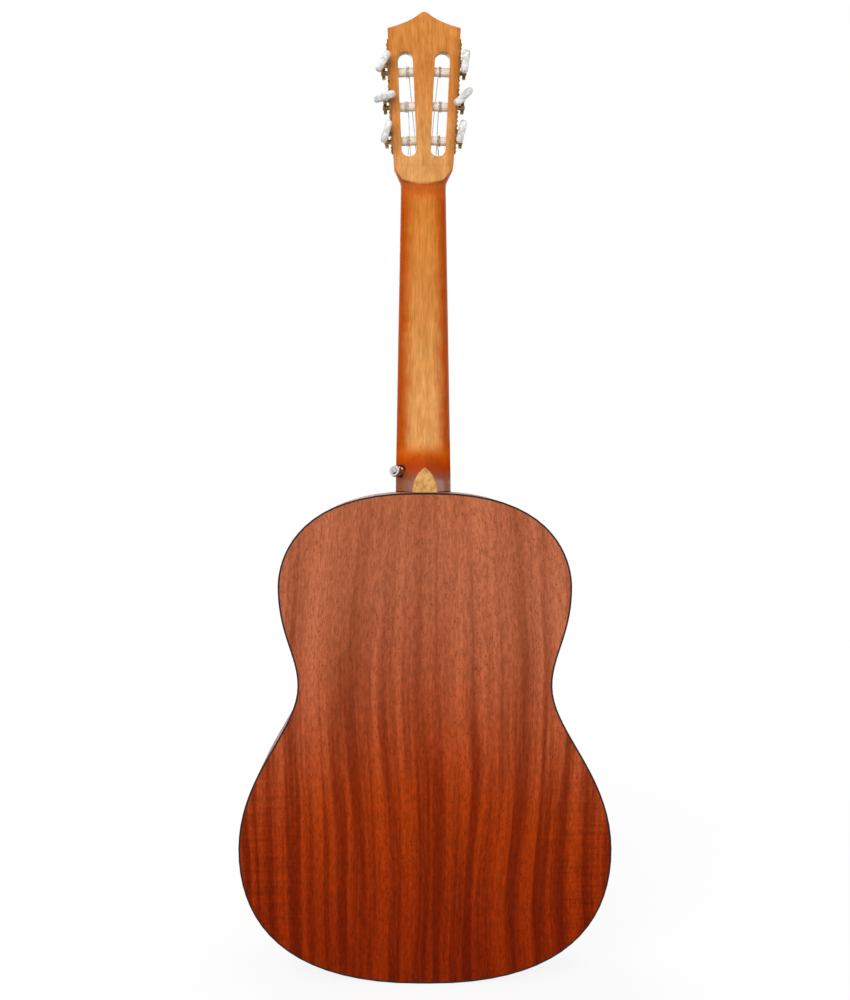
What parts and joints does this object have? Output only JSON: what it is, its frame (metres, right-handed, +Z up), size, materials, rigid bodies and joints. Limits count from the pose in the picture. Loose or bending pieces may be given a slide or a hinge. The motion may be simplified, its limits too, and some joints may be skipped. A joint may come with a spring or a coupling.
{
  "type": "classical guitar",
  "caption": "Nylon-strung classical guitar with a hollow waisted body, slotted head, geared tuning machines and a strap button on the heel.",
  "frame": {"origin": "centre of the flat outer face of the tail strip, at the body's lower end, half way between soundboard and back rim", "axes": "+Z up along the strings towards the head, -Y out of the soundboard, +Y out of the back, +X to the treble side"},
  "size_m": [0.374, 0.1135, 0.9947],
  "materials": {
    "spruce_top": "clear gloss lacquer over fine straight grain",
    "rosette_inlay": "inlaid bands under lacquer",
    "ribbon_mahogany": "gloss lacquer over ribbon-striped red-brown wood",
    "neck_mahogany": "gloss amber lacquer, darker towards the edges",
    "heel_cap_wood": "gloss lacquer over pale wood",
    "bare_spruce": "unfinished",
    "rosewood": "oiled open grain",
    "bone": "polished ivory white",
    "black_binding": "gloss black",
    "tuner_brass": "aged, slightly dull",
    "pearl_buttons": "marbled pearl white",
    "cream_rollers": "moulded cream white",
    "chrome": "polished",
    "black_felt": "pressed felt",
    "clear_nylon": "clear nylon line",
    "wound_silver": "silver wire wound on a core"
  },
  "bodies": {
    "root": {"soundboard": "spruce_top", "back_plate": "ribbon_mahogany", "side_bass": "ribbon_mahogany", "side_treble": "ribbon_mahogany", "neck_block": "bare_spruce", "tail_block": "bare_spruce", "top_lining": "bare_spruce", "back_lining": "bare_spruce", "upper_harmonic_bar": "bare_spruce", "lower_harmonic_bar": "bare_spruce", "fan_bracing": "bare_spruce", "back_brace_upper": "bare_spruce", "back_brace_middle": "bare_spruce", "back_brace_lower": "bare_spruce", "top_binding": "black_binding", "back_binding": "black_binding", "tail_strip": "black_binding", "rosette": "rosette_inlay", "bridge": "rosewood", "saddle": "bone", "neck": "neck_mahogany", "heel_cap": "heel_cap_wood", "head_veneer": "rosewood", "fretboard": "rosewood", "nut": "bone", "strap_button": "chrome", "strap_washer": "black_felt", "strap_screw": "chrome", "tuner_plate_bass": "tuner_brass", "tuner_plate_treble": "tuner_brass", "string_1": "clear_nylon", "string_2": "clear_nylon", "string_3": "clear_nylon", "string_4": "wound_silver", "string_5": "wound_silver", "string_6": "wound_silver"},
    "worm_1": {"worm_shaft_1": "tuner_brass", "button_1": "pearl_buttons"},
    "winder_1": {"gear_1": "tuner_brass", "roller_1": "cream_rollers"},
    "worm_2": {"worm_shaft_2": "tuner_brass", "button_2": "pearl_buttons"},
    "winder_2": {"gear_2": "tuner_brass", "roller_2": "cream_rollers"},
    "worm_3": {"worm_shaft_3": "tuner_brass", "button_3": "pearl_buttons"},
    "winder_3": {"gear_3": "tuner_brass", "roller_3": "cream_rollers"},
    "worm_4": {"worm_shaft_4": "tuner_brass", "button_4": "pearl_buttons"},
    "winder_4": {"gear_4": "tuner_brass", "roller_4": "cream_rollers"},
    "worm_5": {"worm_shaft_5": "tuner_brass", "button_5": "pearl_buttons"},
    "winder_5": {"gear_5": "tuner_brass", "roller_5": "cream_rollers"},
    "worm_6": {"worm_shaft_6": "tuner_brass", "button_6": "pearl_buttons"},
    "winder_6": {"gear_6": "tuner_brass", "roller_6": "cream_rollers"}
  },
  "joints": [
    {"name": "button_turn_1", "type": "hinge", "parent": "root", "child": "worm_1", "pos_m": [0.03971, -0.02912, 0.87458], "axis": [0, 0.9781, -0.2079], "continuous": true},
    {"name": "roller_turn_1", "type": "hinge", "parent": "root", "child": "winder_1", "pos_m": [0.0331, -0.031, 0.86577], "axis": [0.999, -0.0094, -0.0444], "continuous": true},
    {"name": "button_turn_2", "type": "hinge", "parent": "root", "child": "worm_2", "pos_m": [0.0413, -0.02185, 0.90878], "axis": [0, 0.9781, -0.2079], "continuous": true},
    {"name": "roller_turn_2", "type": "hinge", "parent": "root", "child": "winder_2", "pos_m": [0.03469, -0.02373, 0.89997], "axis": [0.999, -0.0094, -0.0444], "continuous": true},
    {"name": "button_turn_3", "type": "hinge", "parent": "root", "child": "worm_3", "pos_m": [0.04289, -0.01458, 0.94298], "axis": [0, 0.9781, -0.2079], "continuous": true},
    {"name": "roller_turn_3", "type": "hinge", "parent": "root", "child": "winder_3", "pos_m": [0.03627, -0.01646, 0.93417], "axis": [0.999, -0.0094, -0.0444], "continuous": true},
    {"name": "button_turn_4", "type": "hinge", "parent": "root", "child": "worm_4", "pos_m": [-0.04289, -0.01458, 0.94298], "axis": [0, 0.9781, -0.2079], "continuous": true},
    {"name": "roller_turn_4", "type": "hinge", "parent": "root", "child": "winder_4", "pos_m": [-0.03627, -0.01646, 0.93417], "axis": [-0.999, -0.0094, -0.0444], "continuous": true},
    {"name": "button_turn_5", "type": "hinge", "parent": "root", "child": "worm_5", "pos_m": [-0.0413, -0.02185, 0.90878], "axis": [0, 0.9781, -0.2079], "continuous": true},
    {"name": "roller_turn_5", "type": "hinge", "parent": "root", "child": "winder_5", "pos_m": [-0.03469, -0.02373, 0.89997], "axis": [-0.999, -0.0094, -0.0444], "continuous": true},
    {"name": "button_turn_6", "type": "hinge", "parent": "root", "child": "worm_6", "pos_m": [-0.03971, -0.02912, 0.87458], "axis": [0, 0.9781, -0.2079], "continuous": true},
    {"name": "roller_turn_6", "type": "hinge", "parent": "root", "child": "winder_6", "pos_m": [-0.0331, -0.031, 0.86577], "axis": [-0.999, -0.0094, -0.0444], "continuous": true}
  ],
  "couplings": [
    {"joint": "roller_turn_1", "follows": "button_turn_1", "ratio": 0.071429},
    {"joint": "roller_turn_2", "follows": "button_turn_2", "ratio": 0.071429},
    {"joint": "roller_turn_3", "follows": "button_turn_3", "ratio": 0.071429},
    {"joint": "roller_turn_4", "follows": "button_turn_4", "ratio": -0.071429},
    {"joint": "roller_turn_5", "follows": "button_turn_5", "ratio": -0.071429},
    {"joint": "roller_turn_6", "follows": "button_turn_6", "ratio": -0.071429}
  ]
}
